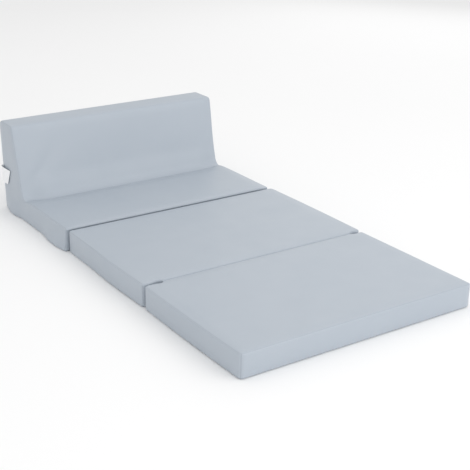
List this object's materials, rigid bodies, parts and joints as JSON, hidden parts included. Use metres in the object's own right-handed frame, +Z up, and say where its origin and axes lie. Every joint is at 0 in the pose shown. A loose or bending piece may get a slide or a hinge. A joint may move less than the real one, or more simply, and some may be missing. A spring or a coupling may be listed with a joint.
{
  "type": "flip open sofa",
  "caption": "Children's foam sofa of hinged cushions with a low wedge backrest, in zipped vinyl covers, opened flat as a floor bed.",
  "frame": {"origin": "on the floor, under the middle of the opened sofa, counted over its width and over its length from the foot face to the top rear edge of the backrest", "axes": "+X to the right for someone who looks from the foot end to the backrest, +Y from the foot end to the backrest, +Z up"},
  "size_m": [0.8232, 1.5205, 0.32],
  "materials": {
    "vinyl": "satin",
    "foam": "matte",
    "zip_tape": "matte",
    "zip_coil": "satin",
    "zip_slider": "satin",
    "label": "matte"
  },
  "bodies": {
    "foot": {"foot_foam": "foam", "foot_top_cover": "vinyl", "foot_bottom_cover": "vinyl", "foot_left_side": "vinyl", "foot_right_side": "vinyl", "foot_front_panel": "vinyl", "foot_rear_lower_band": "vinyl", "foot_rear_upper_band": "vinyl", "foot_zip_tape": "zip_tape", "foot_zip_coil": "zip_coil", "foot_hinge_leaf": "vinyl"},
    "middle": {"middle_foam": "foam", "middle_top_cover": "vinyl", "middle_bottom_cover": "vinyl", "middle_left_side": "vinyl", "middle_right_side": "vinyl", "middle_front_panel": "vinyl", "middle_rear_lower_band": "vinyl", "middle_rear_upper_band": "vinyl", "middle_zip_tape": "zip_tape", "middle_zip_coil": "zip_coil", "middle_front_hinge_leaf": "vinyl", "middle_rear_hinge_leaf": "vinyl"},
    "back": {"back_seat_foam": "foam", "back_rest_foam": "foam", "back_seat_cover": "vinyl", "back_front_panel": "vinyl", "back_rest_cover": "vinyl", "back_rear_upper_panel": "vinyl", "back_rear_lower_band": "vinyl", "back_bottom_cover": "vinyl", "back_left_side": "vinyl", "back_right_side": "vinyl", "back_hinge_leaf": "vinyl", "back_zip_tape": "zip_tape", "back_zip_coil": "zip_coil", "back_label": "label"},
    "foot_slider": {"foot_zip_slider": "zip_slider"},
    "middle_slider": {"middle_zip_slider": "zip_slider"},
    "back_slider": {"back_zip_slider": "zip_slider"}
  },
  "joints": [
    {"name": "middle_fold", "type": "hinge", "parent": "foot", "child": "middle", "pos_m": [0, -0.264, 0.078], "axis": [1, 0, 0], "range_deg": [0, 180]},
    {"name": "back_fold", "type": "hinge", "parent": "middle", "child": "back", "pos_m": [0, 0.242, -0.002], "axis": [-1, 0, 0], "range_deg": [0, 180]},
    {"name": "foot_zip_slide", "type": "slide", "parent": "foot", "child": "foot_slider", "axis": [-1, 0, 0], "range_m": [0, 0.759]},
    {"name": "middle_zip_slide", "type": "slide", "parent": "middle", "child": "middle_slider", "axis": [-1, 0, 0], "range_m": [0, 0.759]},
    {"name": "back_zip_slide", "type": "slide", "parent": "back", "child": "back_slider", "axis": [-1, 0, 0], "range_m": [0, 0.759]}
  ]
}
